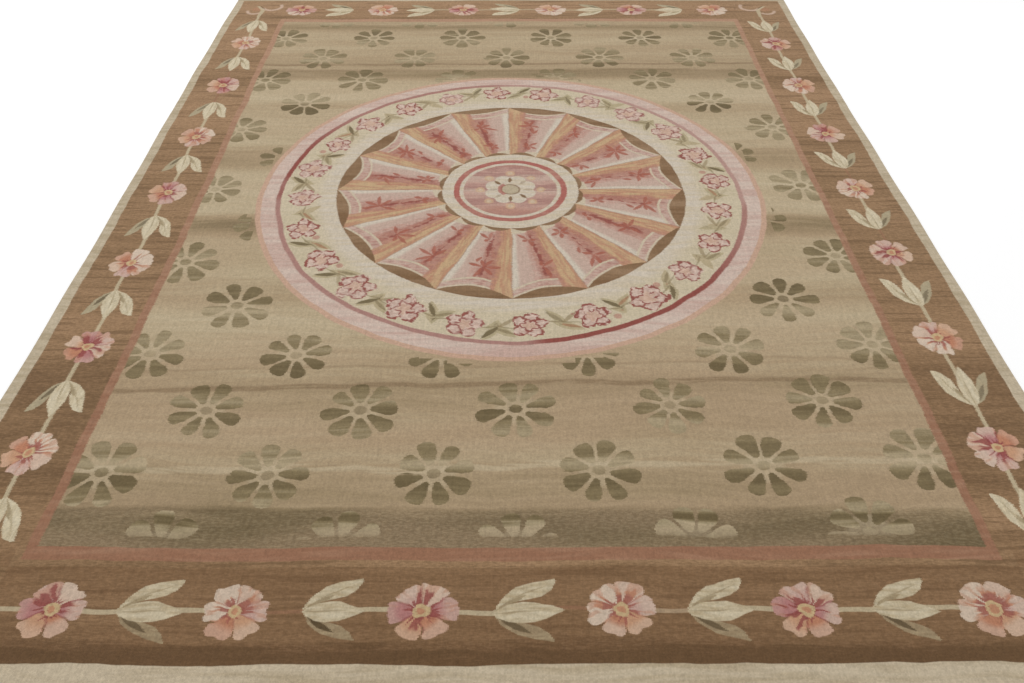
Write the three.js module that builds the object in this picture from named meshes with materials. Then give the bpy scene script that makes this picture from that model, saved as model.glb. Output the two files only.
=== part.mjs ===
import * as THREE from 'three';

// Flat-woven rug lying open on the floor, woven in one piece with its plain edge band.
// Millimetres. +X across the rug, +Y along it, +Z up, origin on the floor under its middle.

const WIDTH = 2743;
const LENGTH = 3658;
const THICKNESS = 3;

// How each edge strays from its straight line: one slow sway from the loom's tension and a
// short ripple. The starts are measured along the edge from the rug's middle.
const EDGES = {
  left: { sway: -8.7, swayLength: 4400, swayStart: 350, ripple: 1.4, rippleLength: 510, rippleStart: 60 },
  right: { sway: -6.5, swayLength: 4200, swayStart: 200, ripple: 1.2, rippleLength: 470, rippleStart: 210 },
  near: { sway: 3.0, swayLength: 2900, swayStart: 300, ripple: 2.2, rippleLength: 610, rippleStart: 90 },
  far: { sway: 3.5, swayLength: 2500, swayStart: -200, ripple: 1.6, rippleLength: 540, rippleStart: 330 },
};

// Soft creases across the rug, left by its storage folds: a positive height is a ridge.
// Each wanders to and fro along its length.
const CREASES = [
  { at: 11, height: -0.8, halfWidth: 16, wander: 5, wanderLength: 1900 },
  { at: 664, height: 1.0, halfWidth: 20, wander: 7, wanderLength: 2300 },
];

// Grid over the top face: equal steps, and finer ones through each crease.
const STEPS_ACROSS = 32;
const STEPS_ALONG = 44;
const CREASE_STATIONS = [-2.4, -1.5, -0.8, 0, 0.8, 1.5, 2.4];
const CREASE_REACH = 3;

const WOVEN_WOOL = new THREE.MeshStandardMaterial({
  name: 'woven wool',
  color: new THREE.Color(0.69, 0.6, 0.47),
  roughness: 0.92,
  metalness: 0,
});

// A sine wave of the given height and length that starts rising at `start`.
function wave(height, length, start, along) {
  return height * Math.sin((2 * Math.PI * (along - start)) / length);
}

// How far an edge lies off its straight line at a place along it.
function stray(edge, along) {
  const sway = wave(edge.sway, edge.swayLength, edge.swayStart, along);
  const ripple = wave(edge.ripple, edge.rippleLength, edge.rippleStart, along);
  return sway + ripple;
}

// The plan position of a point of the cloth, from its straight-edged place (x, y): between
// facing edges the cloth is stretched evenly.
function planPoint(x, y) {
  const left = -WIDTH / 2 + stray(EDGES.left, y);
  const right = WIDTH / 2 + stray(EDGES.right, y);
  const near = -LENGTH / 2 + stray(EDGES.near, x);
  const far = LENGTH / 2 + stray(EDGES.far, x);
  const across = x / WIDTH + 0.5;
  const along = y / LENGTH + 0.5;
  return new THREE.Vector2(left + (right - left) * across, near + (far - near) * along);
}

// Height of the top face: the weave's thickness and a bell-shaped ridge or trough at each crease.
function topHeight(x, y) {
  let height = THICKNESS;
  for (const crease of CREASES) {
    const middle = crease.at + wave(crease.wander, crease.wanderLength, 0, x);
    const off = (y - middle) / crease.halfWidth;
    height += crease.height * Math.exp(-off * off);
  }
  return height;
}

function stationsAcross() {
  const stations = [];
  for (let i = 0; i <= STEPS_ACROSS; i += 1) {
    stations.push((i / STEPS_ACROSS - 0.5) * WIDTH);
  }
  return stations;
}

function isInCrease(y) {
  return CREASES.some((crease) => Math.abs(y - crease.at) < CREASE_REACH * crease.halfWidth);
}

// Equal steps from end to end, replaced by finer ones where a crease runs.
function stationsAlong() {
  const stations = [];
  for (let j = 0; j <= STEPS_ALONG; j += 1) {
    const y = (j / STEPS_ALONG - 0.5) * LENGTH;
    if (!isInCrease(y)) stations.push(y);
  }
  for (const crease of CREASES) {
    for (const station of CREASE_STATIONS) {
      stations.push(crease.at + station * crease.halfWidth);
    }
  }
  return stations.sort((a, b) => a - b);
}

// Grid indices around the rim, counter-clockwise seen from above.
function rimIndices(columns, rows) {
  const rim = [];
  for (let i = 0; i < columns - 1; i += 1) rim.push(i);
  for (let j = 0; j < rows - 1; j += 1) rim.push(j * columns + columns - 1);
  for (let i = columns - 1; i > 0; i -= 1) rim.push((rows - 1) * columns + i);
  for (let j = rows - 1; j > 0; j -= 1) rim.push(j * columns);
  return rim;
}

// One closed sheet: the creased top face, an upright rim and a flat underside.
function rugGeometry() {
  const across = stationsAcross();
  const along = stationsAlong();
  const columns = across.length;
  const rows = along.length;
  const points = [];
  const faces = [];

  for (const y of along) {
    for (const x of across) {
      const plan = planPoint(x, y);
      points.push(new THREE.Vector3(plan.x, plan.y, topHeight(x, y)));
    }
  }
  for (let j = 0; j < rows - 1; j += 1) {
    for (let i = 0; i < columns - 1; i += 1) {
      const corner = j * columns + i;
      faces.push([corner, corner + 1, corner + columns + 1]);
      faces.push([corner, corner + columns + 1, corner + columns]);
    }
  }

  const rim = rimIndices(columns, rows);
  const floorRim = rim.map((index) => {
    points.push(new THREE.Vector3(points[index].x, points[index].y, 0));
    return points.length - 1;
  });
  rim.forEach((top, k) => {
    const next = (k + 1) % rim.length;
    faces.push([top, floorRim[k], floorRim[next]]);
    faces.push([top, floorRim[next], rim[next]]);
  });

  const outline = floorRim.map((index) => new THREE.Vector2(points[index].x, points[index].y));
  for (const [a, b, c] of THREE.ShapeUtils.triangulateShape(outline, [])) {
    faces.push([floorRim[c], floorRim[b], floorRim[a]]);
  }

  const geometry = new THREE.BufferGeometry().setFromPoints(points);
  geometry.setIndex(faces.flat());
  return geometry;
}

// The bounding box's middle is set over the origin, so the swaying edges leave it centred.
function centreOnFloor(geometry) {
  geometry.computeBoundingBox();
  const middle = geometry.boundingBox.getCenter(new THREE.Vector3());
  geometry.translate(-middle.x, -middle.y, 0);
  geometry.computeVertexNormals();
  return geometry;
}

const rug = new THREE.Mesh(centreOnFloor(rugGeometry()), WOVEN_WOOL);
rug.name = 'rug';

const part = new THREE.Group();
part.name = 'aubusson rug';
part.add(rug);

export default part;
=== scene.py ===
"""A flat-woven floral rug lying open on a pale floor. Metres; +X across it, +Y along it, +Z up."""

import math

import bpy
import numpy as np
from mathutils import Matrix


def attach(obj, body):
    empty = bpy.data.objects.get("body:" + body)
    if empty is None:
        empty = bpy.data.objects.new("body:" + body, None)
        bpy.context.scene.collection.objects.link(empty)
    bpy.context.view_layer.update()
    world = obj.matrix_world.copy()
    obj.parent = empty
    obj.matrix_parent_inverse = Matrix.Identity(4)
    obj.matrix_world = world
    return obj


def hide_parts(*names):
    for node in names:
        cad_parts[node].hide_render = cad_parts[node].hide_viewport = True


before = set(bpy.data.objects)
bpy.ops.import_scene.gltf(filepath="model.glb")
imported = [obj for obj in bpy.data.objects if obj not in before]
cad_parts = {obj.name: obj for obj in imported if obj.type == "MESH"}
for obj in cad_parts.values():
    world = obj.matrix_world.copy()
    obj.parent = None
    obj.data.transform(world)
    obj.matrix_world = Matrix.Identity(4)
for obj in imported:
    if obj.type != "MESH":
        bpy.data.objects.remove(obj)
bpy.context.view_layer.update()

# The cloth
WIDTH = 2.743
LENGTH = 3.658
THICKNESS = 0.003
WARP = 0.0032  # from one warp to the next, across the rug
PICK = 0.0013  # from one weft thread to the next, along it
MESH_STEP = 0.02
RIM_STEPS = (0.0, 0.0005, 0.0014, 0.003, 0.006)
RIM_ROUND = 0.003
RIM_FLAT = 0.62  # share of the thickness that stands upright at the rim
CREASE_STEP = 0.006
CREASE_REACH = 3.0  # half widths of fine mesh on each side of a crease
COCKLE_SLOW = 0.00022
COCKLE_QUICK = 0.00014

# Where the finished texture shows the cloth, as shares of its width and height
CHART_ENDS = (0.002, 0.998)  # the rug's near and far end
CHART_TOP = (0.998, 0.252)  # the left and right edge of its top
CHART_UNDER = (0.003, 0.24)  # and of its underside
CHART_RIM = (0.2435, 0.2485)

# How each edge strays from its straight line: a slow sway and a short ripple.
# Columns: sway, sway length, sway start, ripple, ripple length, ripple start.
EDGES = {
    "left": (-0.0087, 4.4, 0.35, 0.0014, 0.51, 0.06),
    "right": (-0.0065, 4.2, 0.2, 0.0012, 0.47, 0.21),
    "near": (0.003, 2.9, 0.3, 0.0022, 0.61, 0.09),
    "far": (0.0035, 2.5, -0.2, 0.0016, 0.54, 0.33),
}

# Storage creases across the rug. Columns: place along it, height, half width, wander, its length.
CREASES = (
    (0.011, -0.0008, 0.016, 0.005, 1.9),
    (0.664, 0.001, 0.02, 0.007, 2.3),
)

# The design's layout, in the straight-edged places the loom gave it
BORDER_X = 1.2175  # middle of the flowered border, at the sides
BORDER_Y = 1.65  # and at the ends
BORDER_PITCH_X = 0.4015
FLOWER_PITCH = 0.411
DAISY_PITCH = 0.408
DAISY_ROW = 0.2158
DAISY_START = 0.023
DAISY_OFFSET = -0.211
MEDALLION = (-0.008, 0.014)
HEART_END = 0.218
WHEEL_END = 0.64
GARLAND_END = 0.905
BORDER_START_X = 1.125
BORDER_START_NEAR = -1.55
BORDER_START_FAR = 1.56
BAND_NEAR = -1.7725  # where the plain edge band starts at the near end
# Boxes, each as left, right, near and far: the edge band's inner line, and the stripe's two
BAND = (-1.3375, 1.3375, BAND_NEAR, 1.767)
STRIPE_INNER = (-1.083, 1.073, -1.49, 1.505)
STRIPE_OUTER = (-1.108, 1.096, -1.525, 1.536)
SOFT = 0.0026  # how far one colour blends into the next
SHARP = 0.0001  # the same for a plain yes or no
TURN = 2 * math.pi
EIGHTH_TURN = TURN / 8

# The dyes, as display red, green and blue
DYES = {
    "galon": (190, 175, 150),
    "galon grey": (174, 158, 131),
    "bark": (107, 82, 57),
    "hem": (94, 70, 46),
    "umber": (118, 84, 56),
    "walnut": (130, 102, 73),
    "brown": (148, 118, 87),
    "chestnut": (166, 133, 101),
    "rust": (156, 110, 80),
    "brick": (172, 136, 110),
    "brick dark": (146, 106, 82),
    "vine": (186, 170, 140),
    "vine dull": (148, 108, 83),
    "field dusk": (108, 92, 66),
    "field olive": (146, 127, 97),
    "field sand": (167, 146, 116),
    "field beige": (179, 161, 131),
    "field warm": (176, 150, 122),
    "field pale": (190, 174, 145),
    "field line": (132, 110, 83),
    "daisy pale": (158, 143, 113),
    "daisy moss": (130, 115, 84),
    "daisy dark": (102, 88, 60),
    "petal ivory": (206, 186, 166),
    "petal blush": (192, 158, 146),
    "petal shell": (200, 173, 153),
    "petal mauve": (174, 120, 117),
    "petal peach": (192, 148, 117),
    "petal salmon": (182, 126, 98),
    "petal wine": (140, 70, 68),
    "pollen": (194, 168, 128),
    "leaf light": (210, 198, 172),
    "leaf cream": (198, 184, 155),
    "leaf tan": (176, 158, 126),
    "leaf shade": (146, 128, 96),
    "leaf grey": (168, 155, 127),
    "leaf brown": (150, 131, 102),
    "leaf dark": (84, 70, 48),
    "salmon": (190, 155, 131),
    "ring pink": (201, 181, 167),
    "ring rose": (190, 161, 148),
    "crimson": (139, 76, 67),
    "mauve": (164, 124, 114),
    "cream": (198, 184, 158),
    "rose white": (205, 181, 167),
    "cream shade": (191, 177, 149),
    "ivory": (200, 188, 171),
    "ivory warm": (196, 181, 157),
    "lens brown": (147, 119, 91),
    "lens dark": (124, 95, 67),
    "ochre": (185, 152, 120),
    "terracotta": (181, 137, 109),
    "salmon dark": (174, 124, 98),
    "rose": (175, 131, 115),
    "rose pale": (186, 151, 137),
    "blush": (189, 163, 148),
    "sprig": (160, 96, 79),
    "red ring": (166, 100, 90),
    "centre tan": (179, 164, 138),
    "leaf olive": (168, 155, 122),
    "dab": (204, 172, 134),
}


def dye(name):
    """One dye as linear red, green, blue and full strength."""
    shown = np.array(DYES[name]) / 255
    linear = np.where(shown <= 0.04045, shown / 12.92, ((shown + 0.055) / 1.055) ** 2.4)
    return (*linear.tolist(), 1.0)


# Shape of the cloth


def wave(height, length, start, along):
    """A sine of the given height and length that starts rising at start."""
    return height * np.sin(TURN * (along - start) / length)


def stray(edge, along):
    """How far an edge lies off its straight line: its sway and its ripple added."""
    sway, sway_length, sway_start, ripple, ripple_length, ripple_start = EDGES[edge]
    return wave(sway, sway_length, sway_start, along) + wave(ripple, ripple_length, ripple_start, along)


def plan_place(x, y):
    """Where a loom place lies on the floor: evenly stretched between the strayed edges."""
    left = -WIDTH / 2 + stray("left", y)
    right = WIDTH / 2 + stray("right", y)
    near = -LENGTH / 2 + stray("near", x)
    far = LENGTH / 2 + stray("far", x)
    return left + (right - left) * (x / WIDTH + 0.5), near + (far - near) * (y / LENGTH + 0.5)


def crease_height(x, y):
    """Sum of one bell curve across each crease, whose middle wanders in a slow sine."""
    height = np.zeros_like(x)
    for at, rise, half_width, wander, wander_length in CREASES:
        off = (y - at - wave(wander, wander_length, 0.0, x)) / half_width
        height += rise * np.exp(-(off**2))
    return height


def cockle(x, y):
    """The weave's slight puckering: a slow and a quick pair of crossed sines, under 0.4 mm."""
    slow = np.sin(TURN * (x / 0.83 + 0.21 * np.sin(2.1 * y))) * np.sin(TURN * y / 0.61)
    quick = np.sin(TURN * (x / 0.37 + y / 0.9)) * np.sin(TURN * (y / 0.43 - x / 1.3))
    return COCKLE_SLOW * slow + COCKLE_QUICK * quick


def rim_rise(inset):
    """Quarter circle that lifts the cloth from its rounded rim to its full thickness."""
    share = np.clip(inset / RIM_ROUND, 0, 1)
    return RIM_FLAT + (1 - RIM_FLAT) * np.sqrt(1 - (1 - share) ** 2)


def side_places(size, fine=()):
    """Places along one side: equal steps, close ones at both rims and through each fine span."""
    half = size / 2
    inner = half - RIM_STEPS[-1]
    count = round(2 * inner / MESH_STEP)
    places = list(np.linspace(-inner, inner, count + 1))
    for low, high in fine:
        places = [p for p in places if not low < p < high]
        places += list(np.linspace(low, high, round((high - low) / CREASE_STEP) + 1))
    for step in RIM_STEPS[:-1]:
        places += [step - half, half - step]
    return np.array(sorted(places))


def rim_loop(columns, rows):
    """Grid indices once round the rim, counter-clockwise from above."""
    near = np.arange(columns - 1)
    right = np.arange(rows - 1) * columns + columns - 1
    far = (rows - 1) * columns + np.arange(columns - 1, 0, -1)
    left = np.arange(rows - 1, 0, -1) * columns
    return np.concatenate([near, right, far, left])


def region_of(x, y):
    """The number of the woven region that a loom place lies in, as listed in REGIONS."""
    radius = np.hypot(x - MEDALLION[0], y - MEDALLION[1])
    region = np.digitize(radius, (HEART_END, WHEEL_END, GARLAND_END))
    at_side = np.abs(x) > BORDER_START_X
    at_end = (y < BORDER_START_NEAR) | (y > BORDER_START_FAR)
    region[at_side | at_end] = 4
    region[at_side & at_end] = 5
    return region


def add_object(name, data):
    added = bpy.data.objects.new(name, data)
    bpy.context.scene.collection.objects.link(added)
    return added


def woven_sheet(name):
    """The cloth as one closed grid: top and underside over the loom places, joined by a rim."""
    spans = [(at - CREASE_REACH * half, at + CREASE_REACH * half) for at, _, half, _, _ in CREASES]
    across, along = side_places(WIDTH), side_places(LENGTH, spans)
    columns, rows = len(across), len(along)
    x, y = (grid.ravel() for grid in np.meshgrid(across, along))
    plan_x, plan_y = plan_place(x, y)
    rise = rim_rise(np.minimum(WIDTH / 2 - np.abs(x), LENGTH / 2 - np.abs(y)))
    top = (THICKNESS + crease_height(x, y) + cockle(x, y)) * rise
    under = THICKNESS * (1 - rise)
    places = np.concatenate([np.column_stack([plan_x, plan_y, z]) for z in (top, under)])
    places[:, :2] -= (places[:, :2].max(0) + places[:, :2].min(0)) / 2

    corner = (np.arange(rows - 1)[:, None] * columns + np.arange(columns - 1)).ravel()
    upper = np.column_stack([corner, corner + 1, corner + columns + 1, corner + columns])
    lower = upper[:, ::-1] + x.size
    loop = rim_loop(columns, rows)
    ahead = np.roll(loop, -1)
    rim = np.column_stack([loop, loop + x.size, ahead + x.size, ahead])
    faces = np.concatenate([upper, lower, rim])

    mesh = bpy.data.meshes.new(name)
    mesh.from_pydata(places.tolist(), [], faces.tolist())
    loom = np.tile(np.column_stack([x, y]), (2, 1))
    mesh.uv_layers.new(name="loom").uv.foreach_set("vector", loom[faces].ravel().astype(np.float32))
    chart = bake_chart(loom[faces], len(upper), len(rim))
    mesh.uv_layers.new(name="OFBake").uv.foreach_set("vector", chart.ravel().astype(np.float32))
    middle = loom[faces].mean(1)
    mesh.polygons.foreach_set("material_index", region_of(middle[:, 0], middle[:, 1]))
    mesh.polygons.foreach_set("use_smooth", np.ones(len(faces), bool))
    mesh.update()
    return add_object(name, mesh)


def bake_chart(loom, face_count, rim_count):
    """Each corner's place on the finished texture: the top over three quarters of it, the
    underside over the last quarter, and the rim unrolled along the line between them."""
    across, along = loom[..., 0], loom[..., 1]
    sides = (-WIDTH / 2, WIDTH / 2)
    ends = (-LENGTH / 2, LENGTH / 2)
    chart = np.stack([np.interp(along, ends, CHART_ENDS), np.interp(across, sides, CHART_TOP)], -1)
    chart[face_count:, :, 1] = np.interp(across[face_count:], sides, CHART_UNDER)
    start = np.arange(rim_count) / rim_count
    end = start + 1 / rim_count
    chart[-rim_count:, :, 0] = np.column_stack([start, start, end, end])
    chart[-rim_count:, :, 1] = np.take(CHART_RIM, (1, 0, 0, 1))
    return chart


# Drawing with nodes


class Value:
    """What one socket puts out over the cloth. It adds and multiplies as a number does."""

    def __init__(self, socket):
        self.socket = socket

    def __add__(self, other):
        return calc("ADD", self, other)

    def __sub__(self, other):
        return calc("SUBTRACT", self, other)

    def __rsub__(self, other):
        return calc("SUBTRACT", other, self)

    def __mul__(self, other):
        return calc("MULTIPLY", self, other)

    def __truediv__(self, other):
        return calc("DIVIDE", self, other)

    def __abs__(self):
        return calc("ABSOLUTE", self)

    __radd__ = __add__
    __rmul__ = __mul__


def feed(socket, value):
    """Links a Value to a socket, or sets the socket to a plain number or to a dye by its name."""
    if isinstance(value, Value):
        socket.id_data.links.new(value.socket, socket)
    else:
        socket.default_value = dye(value) if isinstance(value, str) else value


def feed_all(fed_node, fed):
    """Feeds a node's sockets, which go by number or name."""
    for socket, value in fed.items():
        feed(fed_node.inputs[socket], value)


def node(kind, fed, **settings):
    """Adds a node to the tree of the Values fed to it."""
    tree = next(value.socket.id_data for value in fed.values() if isinstance(value, Value))
    made = tree.nodes.new("ShaderNode" + kind)
    for name, setting in settings.items():
        setattr(made, name, setting)
    feed_all(made, fed)
    return made


def calc(operation, *values):
    return Value(node("Math", dict(enumerate(values)), operation=operation).outputs[0])


def floor(value):
    return calc("FLOOR", value)


def nearest(value):
    """The whole number nearest to a value."""
    return floor(value + 0.5)


def length(x, y):
    return calc("SQRT", calc("MULTIPLY_ADD", x, x, y * y))


def least(a, b):
    return calc("MINIMUM", a, b)


def most(a, b):
    return calc("MAXIMUM", a, b)


def above(value, edge=0.0, soft=SOFT):
    """0 under the edge and 1 over it, through a smooth step as wide as soft."""
    if isinstance(edge, Value):
        value, edge = value - edge, 0.0
    fed = {0: value, 1: edge - soft / 2, 2: edge + soft / 2}
    return Value(node("MapRange", fed, interpolation_type="SMOOTHSTEP").outputs[0])


def below(value, edge=0.0, soft=SOFT):
    """1 under the edge and 0 over it."""
    return above(edge - value, 0.0, soft)


def between(value, low, high, soft=SOFT):
    """1 from low to high and 0 outside."""
    return below(abs(value - (high + low) / 2), (high - low) / 2, soft)


def paint(ground, *coats):
    """Lays coats over a ground in turn. Each is a share of 0 to 1 and a colour, which is a dye's
    name or a Value."""
    for share, colour in coats:
        made = node("Mix", {0: share, 6: ground, 7: colour}, data_type="RGBA")
        ground = Value(made.outputs[2])
    return ground


def curve(value, points, reach, peak, start=0.0):
    """A height up to peak, drawn through points over a stretch of the value from start."""
    made = node("FloatCurve", {"Value": (value - start) / reach})
    line = made.mapping.curves[0]
    placed = [((at - start) / reach, height / peak) for at, height in points]
    while len(line.points) < len(placed):
        line.points.new(0.5, 0.5)
    for point, place in zip(line.points, placed):
        point.location = place
        point.handle_type = "VECTOR"
    made.mapping.update()
    return Value(made.outputs[0]) * peak


def ramp(value, stops, steps="LINEAR"):
    """A row of dyes, each at its place from 0 to 1."""
    made = node("ValToRGB", {0: value})
    made.color_ramp.interpolation = steps
    elements = made.color_ramp.elements
    while len(elements) < len(stops):
        elements.new(1.0)
    for element, (place, name) in zip(elements, stops):
        element.position = place
        element.color = dye(name)
    return Value(made.outputs[0])


def vector(x, y, z=0.0):
    return Value(node("CombineXYZ", {0: x, 1: y, 2: z}).outputs[0])


def parts(triple):
    return [Value(socket) for socket in node("SeparateXYZ", {0: triple}).outputs]


def noise(x, y, detail=1.0, output=0, seed=0.0):
    """Smooth noise of 0 to 1 over a place given in its own wavelengths."""
    fed = {"Vector": vector(x + seed, y - seed), "Scale": 1.0, "Detail": detail, "Roughness": 0.55}
    return Value(node("TexNoise", fed, noise_dimensions="2D").outputs[output])


def chances(x, y=0.0):
    """Three numbers of 0 to 1 that differ from each whole place to the next."""
    made = node("TexWhiteNoise", {"Vector": vector(x, y)}, noise_dimensions="2D")
    return parts(Value(made.outputs["Color"]))


def call(group, *values):
    made = node("Group", dict(enumerate(values)), node_tree=group)
    return [Value(socket) for socket in made.outputs]


SOCKET_KINDS = {"Colour": "NodeSocketColor", "UV": "NodeSocketVector"}


def node_group(name, inputs, outputs, build):
    """A shader group with named sockets. Build gets the inputs and returns the outputs."""
    group = bpy.data.node_groups.new(name, "ShaderNodeTree")
    for direction, names in (("INPUT", inputs), ("OUTPUT", outputs)):
        for socket in names:
            kind = SOCKET_KINDS.get(socket, "NodeSocketFloat")
            group.interface.new_socket(name=socket, in_out=direction, socket_type=kind)
    given = group.nodes.new("NodeGroupInput")
    kept = group.nodes.new("NodeGroupOutput")
    made = build(*(Value(given.outputs[socket]) for socket in inputs))
    for socket, value in zip(outputs, made):
        feed(kept.inputs[socket], value)
    return group


# The weave

HAND_WANDER = 0.011


def build_loom_place(uv):
    """The place drawn at each spot: moved a little as a hand wanders, and set to whole threads."""
    raw_x, raw_y, _ = parts(uv)
    wander_x, wander_y, _ = parts(noise(raw_x * 8.0, raw_y * 8.0, 2.0, 1))
    x = raw_x + (wander_x - 0.5) * HAND_WANDER
    y = raw_y + (wander_y - 0.5) * HAND_WANDER
    warp = floor(x / WARP)
    pick = floor(y / PICK)
    tooth, _, _ = chances(pick, 3.0)
    return (warp + tooth) * WARP, (pick + 0.5) * PICK, raw_x, raw_y


def build_abrash(x, y):
    """Streaks along the weft where one batch of yarn follows another, broad and fine. Both
    rise and fall a little, as hand-beaten weft does."""
    waver = noise(x * 2.1, y * 3.4, 1.0, seed=33.0) - 0.5
    bent = y + waver * 0.07
    broad = noise(x * 0.9, bent * 13.0, 2.0, seed=5.3)
    fine = noise(x * 4.6, bent * 62.0, 2.0, seed=11.7)
    return broad, fine


def build_yarn(colour, x, y):
    """Grain of the yarn over a colour, with painted shade between its ribs, its roughness, and the height
    of its ribs and picks.
    """
    jitter = noise(x * 30.0, y * 30.0, 1.0, seed=2.0) * 0.9
    rib = abs(calc("SINE", (x / WARP + jitter) * math.pi))
    side = floor(x / WARP + jitter)
    bead = abs(calc("SINE", (y / PICK + side * 0.5) * math.pi))
    slub = noise(x * 110.0, y * 170.0, 2.0, seed=7.0)
    mottle = noise(x * 60.0, y * 75.0, 2.0, seed=23.0)
    column = noise(x * 170.0, y * 16.0, 1.0, seed=29.0)
    fleck, shade, _ = chances(side, floor(y / PICK * 0.4))
    # painted shade: the rib term darkens the grooves between the warp ribs; the rest is the yarn's grain
    light = 0.58 + 0.26 * slub + 0.22 * mottle + 0.17 * column + 0.15 * fleck + 0.04 * rib
    fed = {0: 1.0, 6: colour, 7: vector(light, light, light)}
    made = node("Mix", fed, data_type="RGBA", blend_type="MULTIPLY")
    height = rib * (0.6 + 0.4 * bead) + slub * 0.8
    return Value(made.outputs[2]), 0.86 + 0.1 * shade, height


LOOM_PLACE = node_group("loom place", ("UV",), ("X", "Y", "Raw X", "Raw Y"), build_loom_place)
ABRASH = node_group("abrash", ("X", "Y"), ("Broad", "Fine"), build_abrash)
YARN = node_group("yarn", ("Colour", "X", "Y"), ("Colour", "Roughness", "Height"), build_yarn)


# Grounds that more than one region shows

# The field's batches of yarn along the rug, 0 dusky and 1 pale. Columns: place, shade.
FIELD_SHADES = (
    (-1.5, 0.0), (-1.44, 0.0), (-1.39, 0.06), (-1.378, 0.42), (-1.3, 0.42), (-1.24, 0.6),
    (-1.02, 0.5), (-0.97, 0.42), (-0.92, 0.56), (-0.66, 0.82), (-0.6, 0.54), (-0.55, 0.6),
    (-0.5, 0.76), (-0.29, 0.7), (-0.25, 0.34), (-0.2, 0.2), (-0.165, 0.42), (-0.13, 0.8),
    (0.1, 0.88), (0.18, 0.46), (0.28, 0.42), (0.32, 0.74), (0.49, 0.8), (0.64, 0.6),
    (0.7, 0.92), (0.87, 0.72), (0.91, 0.32), (0.97, 0.27), (0.995, 0.56), (1.02, 0.48),
    (1.09, 0.56), (1.32, 0.66), (1.39, 0.58), (1.43, 0.28), (1.45, 0.28), (1.475, 0.52),
    (1.5, 0.54),
)
FIELD_DYES = (
    (0.0, "field dusk"), (0.28, "field olive"), (0.52, "field sand"), (0.74, "field beige"),
    (1.0, "field pale"),
)

# The same for the border's brown, 0 dark and 1 light.
BROWN_SHADES = (
    (-1.8, 0.0), (-1.74, 0.02), (-1.72, 0.38), (-1.55, 0.46), (-1.505, 0.72), (-1.46, 0.3),
    (-1.41, 0.72), (-1.34, 0.48), (-1.3, 0.16), (-1.22, 0.42), (-1.14, 0.12), (-1.08, 0.42),
    (-0.99, 0.14), (-0.91, 0.32), (-0.8, 0.72), (-0.72, 0.72), (-0.6, 0.64), (-0.33, 0.54),
    (-0.04, 0.7), (0.02, 0.4), (0.06, 0.62), (0.31, 0.62), (0.35, 0.46), (0.42, 0.84),
    (0.76, 0.9), (0.9, 0.32), (0.98, 0.78), (1.04, 0.76), (1.09, 0.56), (1.14, 0.8),
    (1.36, 0.84), (1.42, 0.76), (1.47, 1.0), (1.55, 0.6), (1.66, 0.9), (1.78, 0.9),
)
BROWN_DYES = ((0.0, "bark"), (0.35, "walnut"), (0.62, "brown"), (1.0, "chestnut"))
SHADES_START = -1.83
SHADES_REACH = 3.66

# Thin lines in the field where a batch ran out. Columns: place, slope, half width, strength, dye.
FIELD_LINES = (
    (-1.25, 0.015, 0.011, 0.52, "field pale"),
    (-0.964, 0.022, 0.0095, 0.72, "field line"),
    (-0.888, 0.03, 0.0045, 0.4, "field line"),
    (0.975, 0.0, 0.009, 0.35, "field line"),
    (1.034, 0.008, 0.0085, 0.68, "field line"),
)
DUSKY_END = -1.385  # of the dark band at the field's near end


def banded(y, shades, dyes, broad, fine, swing):
    """A ground whose shade follows its batches along the rug, with the yarn's streaks over it."""
    streaked = y + (fine - 0.5) * 0.016 + (broad - 0.5) * 0.04
    shade = curve(streaked, shades, SHADES_REACH, 1.0, SHADES_START)
    return ramp(shade + (broad - 0.5) * swing + (fine - 0.5) * (swing * 0.75), dyes)


def build_field(x, y, broad, fine):
    """The beige field with its weft bands, a rosier cast here and there, and wavering lines."""
    cast = above(noise(x * 1.1, y * 5.0, 1.0, seed=47.0), 0.5, 0.25)
    coats = [(cast * (0.2 - y * 0.1), "field warm")]
    for number, (place, slope, half_width, strength, name) in enumerate(FIELD_LINES):
        waver = noise(x * 2.3, number * 3.7, 2.0, seed=21.0)
        off = abs(y - x * slope - (waver - 0.5) * 0.045 - place)
        line = below(off, half_width, 0.01) * above(fine, 0.4, 0.3)
        coats.append((line * strength, name))
    hatch = noise(x * 75.0, y * 220.0, 2.0, seed=61.0)
    dusky = below(y, DUSKY_END, 0.02)
    coats.append((below(hatch, 0.48, 0.16) * dusky * 0.3, "field dusk"))
    coats.append((above(hatch, 0.53, 0.16) * dusky * 0.22, "daisy pale"))
    return (paint(banded(y, FIELD_SHADES, FIELD_DYES, broad, fine, 0.36), *coats),)


def build_brown(x, y, broad, fine):
    """The border's brown with its weft bands, and the fine dark and light hatch of single wefts."""
    hatch = noise(x * 60.0, y * 260.0, 2.0, seed=41.0)
    dash = noise(x * 3.2, y * 72.0, 1.0, seed=43.0)
    colour = paint(
        banded(y, BROWN_SHADES, BROWN_DYES, broad, fine, 0.62),
        (below(hatch, 0.46, 0.2) * 0.3, "bark"),
        (above(hatch, 0.54, 0.2) * 0.24, "chestnut"),
        (above(dash, 0.63, 0.12) * 0.52, "bark"),
    )
    return (colour,)


CLOTH_PLACE = ("X", "Y", "Broad", "Fine")
FIELD = node_group("field cloth", CLOTH_PLACE, ("Colour",), build_field)
BROWN = node_group("brown cloth", CLOTH_PLACE, ("Colour",), build_brown)


def ivory_cloth(fine):
    return ramp(fine, ((0.35, "ivory warm"), (0.6, "ivory")))


def outside(x, y, box):
    """How far a place lies outside a box, less than 0 inside it."""
    left, right, near, far = box
    return most(most(left - x, x - right), most(near - y, y - far))


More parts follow.
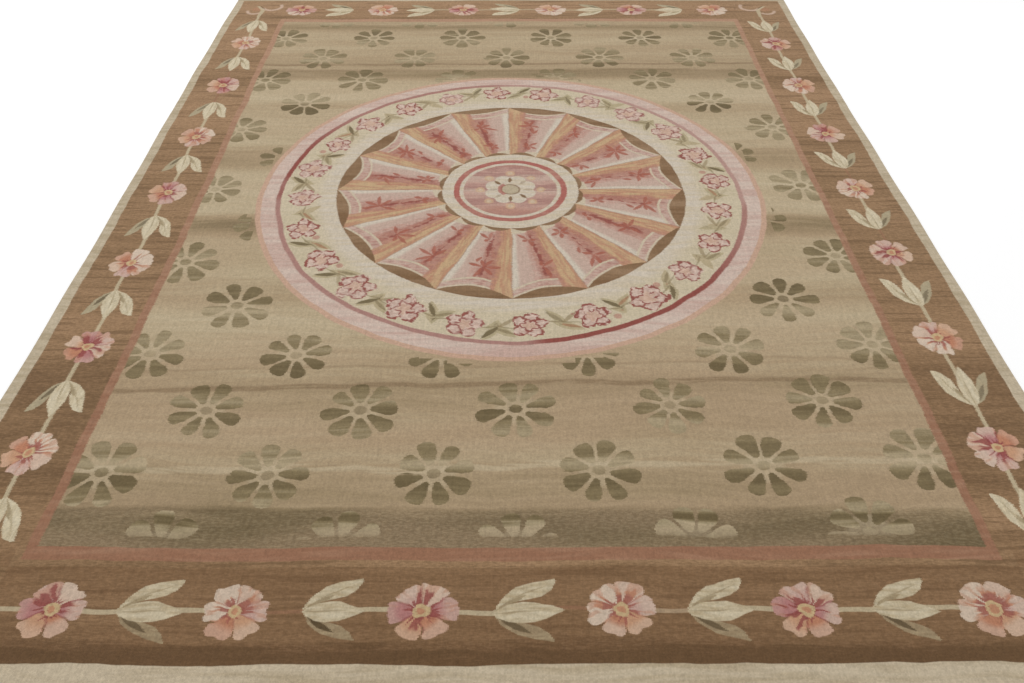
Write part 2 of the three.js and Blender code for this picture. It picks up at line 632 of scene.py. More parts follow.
def leaf_mark(x, y, at, angle, reach, half_width, soft=SOFT):
    """Mask of a mark with two pointed ends: its half width falls off with the square of the way
    from its middle."""
    turn_x, turn_y = math.cos(math.radians(angle)), math.sin(math.radians(angle))
    along = x * turn_x + (y * turn_y - (at[0] * turn_x + at[1] * turn_y))
    aside = y * turn_x - (x * turn_y + (at[1] * turn_x - at[0] * turn_y))
    share = along / reach
    return above(half_width * (1.0 - share * share) - abs(aside), 0.0, soft)


# The field and its daisies

# Half width of one petal from the flower's middle outwards.
PETAL_REACH = 0.13
PETAL_PEAK = 0.024
PETAL_WIDTHS = (
    (0.0, 0.0), (0.026, 0.0), (0.031, 0.0088), (0.05, 0.0158), (0.07, 0.0228), (0.085, 0.025),
    (0.095, 0.022), (0.101, 0.014), (0.104, 0.0), (0.13, 0.0),
)

# The daisies' own batches along the rug, 0 unseen and 1 darkest. Columns: place, depth.
DAISY_DEPTHS = (
    (-1.47, 0.0), (-1.455, 0.16), (-1.428, 0.16), (-1.416, 0.98), (-1.398, 0.98), (-1.386, 0.0),
    (-1.365, 0.6), (-1.28, 0.95), (-1.25, 0.22), (-1.235, 0.22), (-1.21, 0.64), (-1.13, 0.4),
    (-1.055, 0.95), (-1.03, 0.4), (-1.005, 0.4), (-0.975, 0.74), (-0.88, 0.92), (-0.83, 0.38),
    (-0.72, 0.5), (-0.65, 0.32), (-0.61, 0.86), (-0.53, 0.8), (-0.45, 0.58), (-0.19, 0.74),
    (0.02, 0.36), (0.25, 0.7), (0.5, 0.38), (0.56, 0.66), (0.61, 0.94), (0.66, 0.9),
    (0.676, 0.22), (0.73, 0.28), (0.78, 0.5), (0.84, 0.5), (0.87, 0.38), (0.9, 0.44),
    (0.92, 0.74), (1.04, 0.74), (1.07, 0.36), (1.12, 0.52), (1.28, 0.42), (1.35, 0.76),
    (1.462, 0.46), (1.47, 0.16), (1.495, 0.16), (1.5, 0.0),
)
DAISY_DYES = (
    (0.0, "field beige"), (0.3, "daisy pale"), (0.6, "daisy moss"), (1.0, "daisy dark")
)


def daisies(ground, x, y, broad, fine):
    """Eight-petalled daisies in rows, each row set half a pitch off the one before. The rows bend
    up and spread a little towards the sides, as they were woven."""
    risen = y - x * (0.012 - y * 0.008) - x * x * (0.006 - y * 0.01) - DAISY_START
    row = nearest(risen / DAISY_ROW)
    spread = most(1.2 - y * y, 0.0) * least(x, 0.0) * 0.022
    spread = spread + most(x, 0.0) * above(row, -2.5, SHARP) * 0.016
    odd = calc("FLOORED_MODULO", row, 2.0)
    shifted = (x + y * 0.01 - spread - DAISY_OFFSET - odd * (DAISY_PITCH / 2)) / DAISY_PITCH
    column = nearest(shifted)
    turn, size, hue = chances(column, row)
    scale = 0.92 + size * 0.13
    flower_x = (shifted - column) * DAISY_PITCH / scale
    flower_y = (risen - row * DAISY_ROW) / scale
    out = length(flower_x, flower_y)
    angle = calc("ARCTAN2", flower_y, flower_x) / EIGHTH_TURN + turn
    petal = nearest(angle)
    off = (angle - petal) * EIGHTH_TURN
    reach, fat, tint = chances(petal, column + row * 7.0)
    along = out * calc("COSINE", off) / (0.93 + reach * 0.13)
    aside = abs(out * calc("SINE", off))
    frill = noise(x * 55.0, y * 55.0, 1.0, seed=17.0)
    width = curve(along, PETAL_WIDTHS, PETAL_REACH, PETAL_PEAK) * (0.7 + fat * 0.3 + frill * 0.3)
    petals = above(width - aside, 0.0014)
    middle = below(length(flower_x, flower_y * 1.1), 0.0172) * (0.35 + size * 0.65)
    streaked = y + (fine - 0.5) * 0.02 + (broad - 0.5) * 0.02
    depth = curve(streaked, DAISY_DEPTHS, SHADES_REACH, 1.0, SHADES_START)
    tone = depth + (broad - 0.5) * 0.8 + (fine - 0.5) * 0.7 + (tint + hue - 1.0) * 0.14
    seen = above(depth, 0.12, 0.16)
    return paint(
        ground,
        (below(out, 0.052, 0.02) * seen * 0.35, "field pale"),
        (most(petals, middle) * seen * 0.94, ramp(tone, DAISY_DYES)),
    )


def draw_field(x, y, broad, fine):
    """The field with its daisies, and past it the brick stripe and the border's brown."""
    brick = ramp(fine * 0.7 + y * 0.17 + 0.15, ((0.2, "brick dark"), (0.8, "brick")))
    return paint(
        daisies(call(FIELD, x, y, broad, fine)[0], x, y, broad, fine),
        (above(outside(x, y, STRIPE_INNER)), brick),
        (above(outside(x, y, STRIPE_OUTER)), call(BROWN, x, y, broad, fine)[0]),
    )


# The border

LEAF_REACH = 0.16
LEAF_PEAK = 0.08
SPRIG_START = 0.142  # from the middle of the flower before it
FLOWER_REACH = 0.067
FLOWER_MIDDLE = 0.0172
VINE_HALF_WIDTH = 0.0042
HEM_DEPTH = 0.036  # of the darkest brown along the near edge band
NEAR_END = -1.5
FAR_END = 1.54

# Outlines of a sprig's leaves from its base onwards. Columns: place along it, place aside.
INNER_LEAF_OUT = (
    (0.0, 0.0), (0.012, 0.024), (0.02, 0.037), (0.047, 0.059), (0.078, 0.068), (0.128, 0.077),
    (0.134, 0.0), (0.16, 0.0),
)
INNER_LEAF_IN = (
    (0.0, 0.0), (0.01, 0.006), (0.042, 0.0225), (0.069, 0.027), (0.096, 0.034), (0.119, 0.049),
    (0.133, 0.077), (0.16, 0.078),
)
MIDDLE_LEAF = (
    (0.0, 0.0), (0.01, 0.01), (0.033, 0.0205), (0.06, 0.0247), (0.085, 0.0235), (0.112, 0.0145),
    (0.138, 0.0035), (0.143, 0.0), (0.16, 0.0),
)
OUTER_LEAF_OUT = (
    (0.0, 0.0), (0.02, 0.0315), (0.051, 0.054), (0.087, 0.0657), (0.122, 0.0745), (0.125, 0.0),
    (0.16, 0.0),
)
OUTER_LEAF_IN = (
    (0.0, 0.0), (0.02, 0.012), (0.06, 0.026), (0.096, 0.0385), (0.1125, 0.054), (0.125, 0.076),
    (0.16, 0.08),
)

# Where the border's flowers lie, as the weaver spaced them: place along the rug, number. Both
# sides are numbered the way the border runs, down the left side and up the right one. The ends
# share one spacing, which runs rightwards at the near end and leftwards at the far one.
LEFT_FLOWERS = (
    (-1.83, 4.53), (-1.2076, 3.0), (-0.813, 2.0), (-0.419, 1.0), (-0.005, 0.0), (0.39, -1.0),
    (0.83, -2.0), (1.263, -3.0), (1.522, -3.655), (1.83, -4.41),
)
RIGHT_FLOWERS = (
    (-1.83, -4.53), (-1.193, -3.0), (-0.773, -2.0), (-0.364, -1.0), (0.02, 0.0), (0.4145, 1.0),
    (0.83, 2.0), (1.253, 3.0), (1.385, 3.345), (1.83, 4.43),
)
END_FLOWERS = (
    (-1.83, -5.0), (-0.986, -3.0), (-0.592, -2.0), (-0.197, -1.0), (0.234, 0.0), (0.628, 1.0),
    (1.03, 2.0), (1.83, 4.0),
)
MOST_FLOWERS = 5.0

# The flower's petals once round it, as shares of a turn from its leading side, counted
# towards the field. Two lie towards the rug's edge.
MAUVE_PETALS = (
    (0.0, "petal mauve"), (0.09, "petal shell"), (0.25, "petal blush"), (0.42, "petal mauve"),
    (0.585, "petal peach"), (0.75, "petal salmon"), (0.915, "petal mauve"),
)
IVORY_PETALS = (
    (0.0, "petal blush"), (0.09, "petal shell"), (0.25, "petal ivory"), (0.42, "petal ivory"),
    (0.585, "petal salmon"), (0.75, "petal peach"), (0.915, "petal blush"),
)


def border_flower(ground, x, y, odd, number):
    """A six-petalled flower: round petals with notches between them, deepest on its outer side,
    and wine-red and salmon shading from its middle."""
    tilt, ragged, _ = chances(number, 31.0)
    bend_x, bend_y, _ = parts(noise(x * 30.0 + number * 3.7, y * 30.0, 1.0, 1))
    bent_x = x * 0.95 + (bend_x - 0.5) * 0.016
    bent_y = y * 1.04 + (bend_y - 0.5) * 0.016
    out = length(bent_x, bent_y)
    share = calc("ARCTAN2", bent_y, bent_x) / TURN
    turned = calc("FRACT", share + (tilt - 0.5) * 0.07 + 1.0)
    sixth = turned * 6.0 + 0.5
    petal = calc("FLOORED_MODULO", floor(sixth), 6.0)
    off = abs(calc("FRACT", sixth) - 0.5) * 2.0
    long, deep, hue = chances(petal, number)
    notch = below(off, 0.25, 0.3) * ragged * 0.004
    seam = calc("POWER", off, 7.0) * (0.022 - calc("SINE", turned * TURN) * 0.012)
    edge = FLOWER_REACH + long * 0.006 - seam - notch
    outer = between(turned, 0.583, 0.917, 0.001)
    vein = noise(turned * 19.0, out * 14.0 + number * 5.0, 1.0, seed=9.0)
    pale = above(out + hue * 0.016, 0.052, 0.024) * (0.2 + 0.5 * hue)
    warm = above(vein + deep * 0.2, 0.66, 0.12) * (1.0 - outer)
    deepest = most(odd, below(out, 0.036, 0.01) * 0.75)
    shade = paint("petal salmon", (deepest, "petal wine"))
    blot = above(vein + deep * deep * 0.12 - outer * 0.12 - out * 9.0, 0.28, 0.12)
    cleft = above(off, 0.88, 0.14) * below(out, 0.056, 0.01)
    ragged_out = out - (vein - 0.5) * 0.006
    rim = between(out, 0.016, 0.021) * above(vein, 0.46, 0.1)
    colour = paint(
        ramp(turned, IVORY_PETALS, "CONSTANT"),
        (odd, ramp(turned, MAUVE_PETALS, "CONSTANT")),
        (pale, "petal ivory"),
        (warm * 0.45, "petal salmon"),
        (blot * 0.85, shade),
        (cleft * 0.55, shade),
        (below(ragged_out, FLOWER_MIDDLE), "pollen"),
        (rim * 0.8, shade),
        (below(ragged_out, 0.0085) * 0.85, "petal salmon"),
    )
    return paint(ground, (above(edge - out), colour))


def leaf_between(along, aside, low, high):
    """Mask of a leaf that lies between two outlines."""
    past_low = above(aside - curve(along, low, LEAF_REACH, LEAF_PEAK))
    return past_low * above(curve(along, high, LEAF_REACH, LEAF_PEAK) - aside)


def border_sprig(ground, x, y, near, number):
    """Three leaves from one base: two cream ones and a greyer one on the outer side. At the near end
    painted shade darkens them and deepens the grey leaf's streak.
    """
    size, lean, dark = chances(number, 57.0)
    along = x / (0.95 + size * 0.09)
    aside = y + along * (lean - 0.5) * 0.12
    middle_aside = aside + 0.003
    inside = above(along, 0.001, 0.003) * below(along, 0.146)
    outer = leaf_between(along, 0.0 - aside, OUTER_LEAF_IN, OUTER_LEAF_OUT) * inside
    inner = leaf_between(along, aside, INNER_LEAF_IN, INNER_LEAF_OUT) * inside
    middle = above(curve(along, MIDDLE_LEAF, LEAF_REACH, 0.03) - abs(middle_aside)) * inside
    fibre = noise(along * 22.0 + number, aside * 120.0, 1.0, seed=3.0)
    # painted shade: the leaves darker at the near end
    tone = fibre - near * 0.14
    cream = ramp(tone, ((0.0, "leaf tan"), (0.46, "leaf cream"), (0.9, "leaf light")))
    grey = paint("leaf grey", (near, "leaf brown"), (above(fibre, 0.55, 0.2) * 0.4, "leaf tan"))
    streak = leaf_mark(along, aside, (0.046, -0.033), -30.0, 0.038, 0.0068)
    fold = leaf_mark(along, aside, (0.036, 0.021), 29.0, 0.036, 0.0065)
    vein = leaf_mark(along, aside, (0.072, 0.045), 22.0, 0.046, 0.0018)
    shine = leaf_mark(along, middle_aside, (0.078, -0.007), -2.0, 0.046, 0.01, 0.006)
    rib = leaf_mark(along, middle_aside, (0.05, 0.001), 1.0, 0.048, 0.0022)
    return paint(
        ground,
        (outer, grey),
        # painted shade: the streak stronger at the near end
        (streak * (0.5 + dark * 0.26 + near * 0.24), "leaf dark"),
        (inner, cream),
        (fold * 0.75, "leaf shade"),
        (vein * 0.6, "leaf shade"),
        (middle, cream),
        (shine * 0.45, "leaf light"),
        (rib * 0.6, "leaf shade"),
    )


def edge_band(ground, x, y, broad, fine):
    """The plain pale band round the rug, whose inner line steps with the threads."""
    pale = ramp(fine * 0.6 + broad * 0.4, ((0.36, "galon grey"), (0.56, "galon")))
    return paint(ground, (above(outside(x, y, BAND)), pale))


def flower_count(y, flowers):
    """How far a row of flowers has come at a place along it, in flowers."""
    raised = tuple((place, number + MOST_FLOWERS) for place, number in flowers)
    return curve(y, raised, SHADES_REACH, 2 * MOST_FLOWERS, SHADES_START) - MOST_FLOWERS


def draw_border(x, y, broad, fine):
    """The brown border, darkened with painted shade at its near end. Its cells run counter-clockwise: a
    flower, then a sprig.
    """
    # near is 1 at the border's near end, where the brown, leaves and flowers get painted shade
    near = below(y, NEAR_END, 0.04)
    hem = above(BAND_NEAR + HEM_DEPTH + (fine - 0.5) * 0.07 - y, 0.0, 0.02)
    at_side = above(abs(x), BORDER_START_X - 0.012, SHARP)
    run_x = calc("SIGN", y) * (at_side - 1.0)
    run_y = calc("SIGN", x) * at_side
    inward = y * run_x - x * run_y + at_side * (BORDER_X - BORDER_Y) + BORDER_Y
    end_cell = flower_count(x * run_x, END_FLOWERS)
    left_cell = flower_count(y, LEFT_FLOWERS)
    right_cell = flower_count(y, RIGHT_FLOWERS)
    side_cell = left_cell + (right_cell - left_cell) * above(x, 0.0, SHARP)
    cell = end_cell + (side_cell - end_cell) * at_side
    number = floor(cell + 0.25)
    place = (cell - number) * (at_side * (FLOWER_PITCH - BORDER_PITCH_X) + BORDER_PITCH_X)
    turned = (1.0 - run_x - run_y) * 0.5
    odd = calc("FLOORED_MODULO", number + turned, 2.0)
    seed = number + run_x * 11.0 + run_y * 23.0
    bent = inward + calc("SINE", place * 17.0) * 0.003
    stretch = above(place, 0.15, SHARP) - below(place, 0.0, SHARP)
    link, _, _ = chances(seed * 2.0 + stretch, 5.0)
    far = above(y, FAR_END, 0.02) * (1.0 - at_side)
    seen = above(link + at_side * 0.28, 0.36, 0.01)
    pale = most(seen, above(abs(y), 1.52, 0.01) * at_side)
    vine = above(VINE_HALF_WIDTH - abs(bent) + pale * 0.0016)
    strength = 0.62 + pale * 0.33 - far * 0.28
    ground = paint(
        call(BROWN, x, y, broad, fine)[0],
        # painted shade: the brown darkened towards umber at the near end
        (near * 0.25, "umber"),
        (hem * (0.45 + fine * 0.5), "hem"),
        (vine * strength, paint("vine dull", (pale, "vine"))),
    )
    ground = border_sprig(ground, place - SPRIG_START, inward, near, seed)
    ground = border_flower(ground, place, inward, odd, seed)
    # painted shade: the whole near end, flowers and leaves too, darkened a little towards bark
    return edge_band(paint(ground, (near * 0.12, "bark")), x, y, broad, fine)


def draw_corner(x, y, broad, fine):
    """A corner of the border: a stem that bends outwards past a faint bud, and two pale curls."""
    at_x = abs(x) - BORDER_X
    at_y = abs(y) - BORDER_Y
    bud = below(length(at_x - 0.032, at_y - 0.008), 0.024, 0.016)
    outer_x, outer_y = at_x - 0.038, at_y + 0.014
    outer = between(length(outer_x, outer_y), 0.029, 0.044, 0.008)
    outer = outer * above(outer_x * 0.4 - outer_y, 0.01, 0.016)
    inner_x, inner_y = at_x + 0.0375, at_y - 0.04
    inner = between(length(inner_x, inner_y), 0.037, 0.053, 0.008)
    inner = inner * below(inner_y + inner_x * 0.6, 0.006, 0.01)
    bend = most(at_y + 0.002, 0.0)
    narrow = most(0.0 - at_y - 0.03, 0.0) * 0.05 + bend * 0.06
    lean = at_x + 0.006 - below(x, 0.0, SHARP) * (0.006 - at_y * 0.05) - bend * 0.8
    stem = above(0.01 - narrow - abs(lean)) * below(at_y, 0.048)
    shadow = leaf_mark(at_x, at_y, (0.01, 0.03), 52.0, 0.034, 0.0034)
    ground = paint(
        call(BROWN, x, y, broad, fine)[0],
        (bud * 0.35, "petal salmon"),
        (outer * 0.8, "petal shell"),
        (inner * 0.8, "petal shell"),
        (stem * 0.9, "vine"),
        (shadow * 0.55, "leaf dark"),
    )
    return edge_band(ground, x, y, broad, fine)


# The medallion

# Where its rings start, from its middle outwards
HEART_IVORY = 0.165
HEART_RED = 0.179
HEART_OUTER_IVORY = 0.2
WHEEL_START = 0.241
FAN_EDGE = 0.611
WHEEL_IVORY = 0.612
GARLAND_CREAM = 0.668
ROSES_AT = 0.731
RING_PINK = 0.801
RING_WINE_END = 0.8175
RING_SALMON = 0.868
FIELD_AGAIN = 0.886
SECTORS = 16
SECTOR_TURN = TURN / SECTORS
ROSES = 24
ROSE_TURN = TURN / ROSES


def medallion_place(x, y):
    """The way from the medallion's middle across, along and straight, and the angle round it."""
    away_x = x - MEDALLION[0]
    away_y = y - MEDALLION[1]
    return away_x, away_y, length(away_x, away_y), calc("ARCTAN2", away_y, away_x)


# The bands across the medallion's heart. Columns: place up it, dye.
HEART_BANDS = (
    (0.0, "mauve"), (0.1, "rose"), (0.2, "rose pale"), (0.27, "mauve"), (0.4, "rose pale"),
    (0.47, "blush"), (0.54, "mauve"), (0.62, "rose pale"), (0.73, "blush"), (0.8, "mauve"),
    (0.87, "rose pale"), (0.92, "mauve"), (1.0, "rose"),
)


def draw_heart(x, y, broad, fine):
    """The middle: an eight-petalled rosette on a banded disc, inside a red ring."""
    away_x, away_y, out, angle = medallion_place(x, y)
    eighth = angle / EIGHTH_TURN + 8.0
    off = abs(calc("FRACT", eighth) - 0.5)
    aside = abs(eighth - nearest(eighth)) * out * EIGHTH_TURN
    ripple = noise(x * 9.0, y * 70.0, 1.0, seed=19.0)
    dab = length(aside, out - 0.107) + (ripple - 0.5) * 0.008
    upright = calc("COSINE", angle * 2.0 - math.radians(225.0))
    drop = (out - 0.062) / 0.017
    tick = above(0.0068 - drop * drop * 0.0068 - aside, 0.0, 0.003)
    crescent = between(out, 0.03, 0.045, 0.004) * above(0.0 - away_x - out * 0.5, 0.0, 0.008)
    ivory = ivory_cloth(fine)
    return paint(
        ramp(away_y / 0.34 + 0.5 + (ripple - 0.5) * 0.18, HEART_BANDS),
        (below(dab, 0.0165, 0.006) * 0.6, "dab"),
        (below(dab, 0.009, 0.005) * 0.6, "ivory warm"),
        (above(0.093 - off * off * 0.06 - out), ivory),
        (tick * (0.35 + above(upright, 0.0, 0.5) * 0.6), "lens dark"),
        (below(out, 0.031), "centre tan"),
        (between(out, 0.029, 0.035, 0.003) * 0.75, "lens dark"),
        (crescent * 0.8, "red ring"),
        (above(out, HEART_IVORY), ivory),
        (above(out, HEART_RED), ramp(broad + fine * 0.4, ((0.62, "red ring"), (0.95, "rose")))),
        (above(out, HEART_OUTER_IVORY), ivory),
    )


# One sector of the wheel, clockwise across it. Columns: share of its width, dye.
OCHRE_SECTOR = (
    (0.0, "terracotta"), (0.06, "ochre"), (0.16, "ochre"), (0.24, "terracotta"), (0.33, "rose"),
    (0.46, "rose"), (0.56, "rose pale"), (0.68, "blush"), (0.84, "blush"), (0.91, "ivory"),
    (1.0, "ivory"),
)
CLAY_SECTOR = (
    (0.0, "terracotta"), (0.1, "ochre"), (0.2, "terracotta"), (0.34, "rose"), (0.48, "rose"),
    (0.58, "rose pale"), (0.7, "blush"), (0.86, "blush"), (0.92, "ivory"), (1.0, "ivory"),
)


def sprig_mark(x, y, leaves, reach, half_width, number):
    """A burst of small blunt leaves round one spot, each there or not by chance. A leaf widens
    along its length and closes in a square curve at its tip."""
    out = length(x, y)
    part = calc("ARCTAN2", y, x) * (leaves / TURN) + number * 0.37
    leaf = nearest(part)
    there, long, lean = chances(calc("FLOORED_MODULO", leaf, leaves), number)
    off = (part - leaf) * (TURN / leaves) + (lean - 0.5) * 0.45
    along = out * calc("COSINE", off) / (0.5 * reach + long * (0.65 * reach))
    aside = abs(out * calc("SINE", off))
    shape = along * (1.0 - along * along) * (2.6 * half_width) - aside
    return above(shape) * above(there, 0.24, 0.05)


def fan_shades(share, warm, hatch, grain):
    """A sector's dyes across it, streaked along it, and its strip of ochre."""
    middle = between(share, 0.1, 0.76, 0.14)
    streaked = share + ((hatch - 0.5) * 0.3 + (grain - 0.5) * 0.26) * middle
    strip = below(share, 0.27, 0.12)
    return paint(
        ramp(streaked, OCHRE_SECTOR),
        (warm, ramp(streaked, CLAY_SECTOR)),
        (above(grain, 0.53, 0.12) * strip * 0.36, "salmon dark"),
        (below(grain, 0.47, 0.12) * strip * 0.5, "pollen"),
    )


def draw_wheel(x, y, broad, fine):
    """Sixteen fan sectors, each shaded clockwise with a red sprig on it, between scalloped rims."""
    _, _, out, angle = medallion_place(x, y)
    turned = (math.pi / 2 - angle) / SECTOR_TURN + SECTORS
    sector = floor(turned)
    share = turned - sector
    warm, red, late = chances(sector, 4.0)
    hatch = noise(x * 34.0, y * 95.0, 2.0, seed=1.0)
    grain = noise(share * 13.0 + sector * 7.0, out * 9.0, 1.0, seed=35.0)
    wander = noise(out * 16.0, sector * 5.0, 2.0, seed=6.0)
    blotch = noise(x * 26.0, y * 34.0, 2.0, seed=27.0)

    reach = below(out, 0.54, 0.02) * above(out, 0.262, 0.01)
    stain = above(blotch + hatch * 0.5, 0.76, 0.14) * between(share, 0.28, 0.58, 0.12)
    aside = (share - 0.45 - (late - 0.5) * 0.14 - (wander - 0.5) * 0.1) * out * SECTOR_TURN
    thick = red * 0.012 - 0.004 + (blotch - 0.46) * 0.022 + (hatch - 0.5) * 0.012
    stem = above(thick - abs(aside), 0.0, 0.004) * between(out, 0.285, 0.51, 0.02)
    burst = sprig_mark(out - 0.468 + (red - 0.5) * 0.03, aside, 7.0, 0.06, 0.007, sector)
    small = sprig_mark(out - 0.31, aside - 0.012, 5.0, 0.04, 0.007, sector + 31.0)
    drop = leaf_mark(out - 0.425, aside - 0.022, (0.0, 0.0), 24.0, 0.018, 0.0062)
    drop = drop * above(late, 0.55, 0.05)
    leaves = most(most(burst, small), drop)

    arch = share * (1.0 - share) * 4.0
    rim = FAN_EDGE - arch * (0.034 + late * 0.018)
    depth = rim - out
    shown = above(share, 0.3, 0.03)
    cream = most(between(depth, 0.0, 0.008), between(depth, 0.035, 0.043))
    wash = ramp(hatch + red * 0.12, ((0.38, "mauve"), (0.52, "rose pale"), (0.66, "blush")))
    edge = (1.0 - share) * out * SECTOR_TURN
    curl = above(0.268 - out + (share - 0.6) * 0.02) * above(share, 0.52, 0.04)
    streak = (fine - 0.5) * 0.4 + (broad - 0.5) * 0.9
    brown = ramp(y * 0.08 + 0.39 + streak, ((0.24, "lens dark"), (0.58, "lens brown")))
    ivory = ivory_cloth(fine)
    return paint(
        fan_shades(share, warm, hatch, grain),
        (stain * reach * 0.4, paint("sprig", (grain, "crimson"))),
        (stem * 0.85, "crimson"),
        (leaves * (0.62 + hatch * 0.5), "sprig"),
        (between(depth, 0.008, 0.035) * shown * 0.8, wash),
        (cream * shown, "ivory warm"),
        (below(edge, 0.0034) * 0.6, "brick dark"),
        (curl, "ivory warm"),
        (above(WHEEL_START + arch * 0.018 - out), brown),
        (below(out, WHEEL_START), ivory),
        (above(out - rim), brown),
        (above(out, WHEEL_IVORY), ivory),
    )


def garland_rose(ground, x, y, number, y_down):
    """A loose rose: five pink petals round five smaller ones, with broken mauve and wine-red
    lines along their edges. A petal's edge follows the size of a cosine of half the turn."""
    turn, size, tint = chances(number, 77.0)
    bend = noise(x * 38.0 + number * 9.0, y * 38.0, 1.0)
    fold = noise(x * 62.0 - number * 5.0, y * 62.0, 1.0, seed=4.0)
    out = length(x, y) / (0.96 + size * 0.2) + (bend - 0.5) * 0.026
    half = calc("ARCTAN2", y, x) * 2.5 + turn * 3.0 + (fold - 0.5) * 0.8
    lobe = abs(calc("COSINE", half))
    inside = 0.038 + lobe * 0.017 - out
    core = 0.018 + abs(calc("SINE", half)) * 0.01 - out
    body = above(inside)
    rim = between(inside, -0.001, 0.0085) * above(fold, 0.4, 0.16)
    heart = between(core, -0.004, 0.003) * above(bend, 0.42, 0.16)
    seam = below(lobe, 0.2, 0.2) * below(core) * body * above(bend, 0.36, 0.2)
    white = above(fold, 0.5, 0.2)
    peach = above(core, 0.006, 0.01) * 0.4
    petals = paint("rose white", (white, "ring rose"), (peach, "petal peach"))
    deep = above(tint * 0.4 + bend * 0.5 + fold * 0.5 - y_down * 0.1, 0.58, 0.16)
    wine = paint("mauve", (deep, "crimson"))
    return paint(ground, (body * 0.92, petals), (most(most(rim, heart), seam) * 0.95, wine))


def garland_leaves(ground, x, y, side, flip, shade):
    """The leaves and the bud between two roses, round a place half way between them."""
    wash = most(
        leaf_mark(x, y, (0.012, 0.02), 34.0, 0.054, 0.015),
        leaf_mark(x, y, (-0.01, -0.02), 58.0, 0.052, 0.014),
    )
    stem = leaf_mark(x, y, (0.0, 0.002), 14.0, 0.078, 0.003)
    third = leaf_mark(x, y, (0.026, -0.012), -38.0, 0.036, 0.007)
    dark = leaf_mark(x, y, (-0.018, -0.026), 52.0, 0.038, 0.0078)
    dusky = leaf_mark(x, y, (0.022, 0.024), 26.0, 0.036, 0.0062)
    bud = below(length(x + 0.03, y - 0.03), 0.012)
    return paint(
        ground,
        (wash * 0.85, paint("leaf olive", (side, "leaf tan"))),
        (stem * 0.6, "daisy moss"),
        (third * above(flip, 0.35, 0.3) * 0.7, "leaf shade"),
        (dark * above(shade, 0.25, 0.2) * 0.85, "daisy dark"),
        (dusky * 0.7, paint("daisy moss", (above(shade, 0.6, 0.02), "rust"))),
        (bud * above(shade, 0.45, 0.1) * 0.8, "rose"),
    )


def draw_garland(x, y, broad, fine):
    """Twenty-four roses with leaves on a cream ring, inside pink, wine and salmon rings."""
    away_x, away_y, out, angle = medallion_place(x, y)
    cell = angle / ROSE_TURN + ROSES - 0.273
    number = calc("FLOORED_MODULO", nearest(cell), ROSES)
    side, flip, shade = chances(number, 12.0)
    along = (cell - nearest(cell)) * ROSE_TURN * ROSES_AT
    aside = (out - ROSES_AT) + (side - 0.5) * 0.022
    leaf_x = along - calc("SIGN", along) * 0.096
    leaf_y = aside * calc("SIGN", flip - 0.5)
    cream = ramp(fine * 0.5 + broad * 0.5, ((0.34, "cream shade"), (0.6, "cream")))
    colour = paint(ivory_cloth(fine), (above(out, GARLAND_CREAM, 0.05), cream))
    colour = garland_leaves(colour, leaf_x, leaf_y, side, flip, shade)
    colour = garland_rose(colour, along, aside, number, away_y)

    ring_out = out + (noise(x * 3.5, y * 3.5, 1.0, seed=15.0) - 0.5) * 0.014
    pink = ramp(fine * 0.5 + broad * 0.5, ((0.36, "ring rose"), (0.58, "ring pink")))
    patch = noise(x * 4.2, y * 4.2, 1.0, seed=51.0)
    facing = calc("COSINE", angle * 2.0 - math.radians(270.0))
    strong = above(facing + (patch - 0.5) * 1.6, 0.3, 0.5)
    faded = above(away_y + away_x * 0.6, 0.0, 0.5) * 0.4
    wine = paint("mauve", (strong, "crimson"), (faded, "ring rose"))
    in_pink = above(ring_out, RING_PINK)
    in_wine = above(RING_WINE_END + strong * 0.002 - ring_out, 0.0, 0.005) * in_pink
    return paint(
        colour,
        (in_pink, pink),
        (in_wine, wine),
        (above(out, RING_SALMON), paint(pink, (0.9, "salmon"))),
        (above(out, FIELD_AGAIN), call(FIELD, x, y, broad, fine)[0]),
    )


REGIONS = (
    ("medallion heart", draw_heart),
    ("medallion wheel", draw_wheel),
    ("medallion garland", draw_garland),
    ("daisy field", draw_field),
    ("flowered border", draw_border),
    ("border corner", draw_corner),
)


def woven_material(name, draw):
    """One region's cloth: its drawing, the yarn's grain and painted rib shade over it, and matt wool."""
    material = bpy.data.materials.new(name)
    material.use_nodes = True
    tree = material.node_tree
    tree.nodes.clear()
    uv_map = tree.nodes.new("ShaderNodeUVMap")
    uv_map.uv_map = "loom"
    x, y, raw_x, raw_y = call(LOOM_PLACE, Value(uv_map.outputs["UV"]))
    broad, fine = call(ABRASH, raw_x, raw_y)
    colour, roughness, height = call(YARN, draw(x, y, broad, fine), raw_x, raw_y)
    bump = node("Bump", {"Height": height, "Strength": 0.55, "Distance": 0.0006})
    wool = {
        "Base Color": colour,
        "Roughness": roughness,
        "Normal": Value(bump.outputs["Normal"]),
        "Specular IOR Level": 0.12,
        "Sheen Weight": 0.04,
        "Sheen Roughness": 0.5,
    }
    shader = node("BsdfPrincipled", wool)
    node("OutputMaterial", {"Surface": Value(shader.outputs["BSDF"])})
    return material


# Camera, floor and light

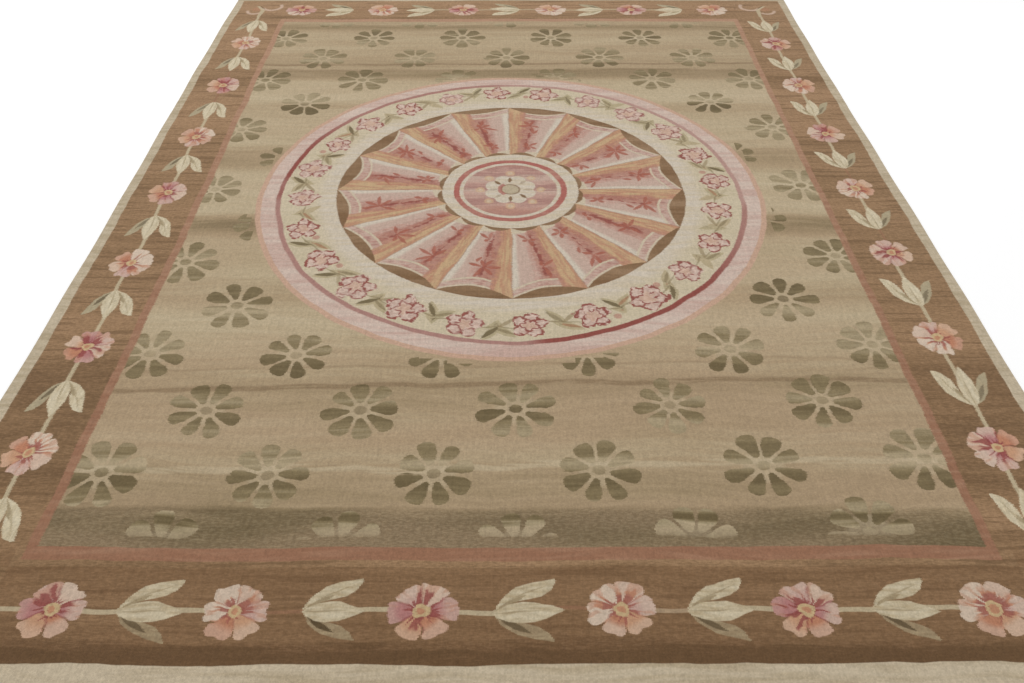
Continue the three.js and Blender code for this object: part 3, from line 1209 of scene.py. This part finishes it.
CAMERA_AT = (0.0011, -2.665, 1.688)
CAMERA_DOWN = 41.98  # degrees below level
FOCAL_PIXELS = 880
PHOTO_WIDTH_PIXELS = 1024
SENSOR_MM = 36.0
FLOOR_HALF = 30.0
FLOOR_AT = -0.0002  # just under the cloth
WHITE = (1, 1, 1, 1)
OFF_WHITE = (0.97, 0.97, 0.97, 1)
FLOOR_GLOW = 0.09
SKY_STRENGTH = 0.86
LAMP_AT = (-1.5, 3.0, 4.5)
LAMP_TURNS = (-32, -16, 0)  # degrees
LAMP_SIZE = (4.0, 3.0)
LAMP_WATTS = 50.0


def set_camera():
    data = bpy.data.cameras.new("photo camera")
    data.sensor_width = SENSOR_MM
    data.lens = FOCAL_PIXELS / PHOTO_WIDTH_PIXELS * SENSOR_MM
    camera = add_object("photo camera", data)
    camera.location = CAMERA_AT
    camera.rotation_euler = (math.radians(90 - CAMERA_DOWN), 0, 0)
    bpy.context.scene.camera = camera


def lay_floor():
    mesh = bpy.data.meshes.new("pale floor")
    corners = [(x * FLOOR_HALF, y * FLOOR_HALF, FLOOR_AT) for x, y in ((-1, -1), (1, -1), (1, 1), (-1, 1))]
    mesh.from_pydata(corners, [], [(0, 1, 2, 3)])
    material = bpy.data.materials.new("pale floor")
    material.use_nodes = True
    matt = {
        "Base Color": OFF_WHITE,
        "Roughness": 0.9,
        "Specular IOR Level": 0.1,
        "Emission Color": WHITE,
        "Emission Strength": FLOOR_GLOW,
    }
    feed_all(material.node_tree.nodes["Principled BSDF"], matt)
    mesh.materials.append(material)
    add_object("pale floor", mesh)


def set_lights():
    """A white studio: an even sky, and one large soft lamp over the far end."""
    world = bpy.data.worlds.new("white studio")
    bpy.context.scene.world = world
    world.use_nodes = True
    feed_all(world.node_tree.nodes["Background"], {"Color": WHITE, "Strength": SKY_STRENGTH})
    data = bpy.data.lights.new("soft lamp", "AREA")
    data.shape = "RECTANGLE"
    data.size, data.size_y = LAMP_SIZE
    data.energy = LAMP_WATTS
    lamp = add_object("soft lamp", data)
    lamp.location = LAMP_AT
    lamp.rotation_euler = [math.radians(turn) for turn in LAMP_TURNS]
    bpy.context.scene.view_settings.view_transform = "Standard"


set_camera()
lay_floor()
set_lights()

rug = woven_sheet("rug_cloth")
for region, drawing in REGIONS:
    rug.data.materials.append(woven_material(region, drawing))
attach(rug, "root")
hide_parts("rug")
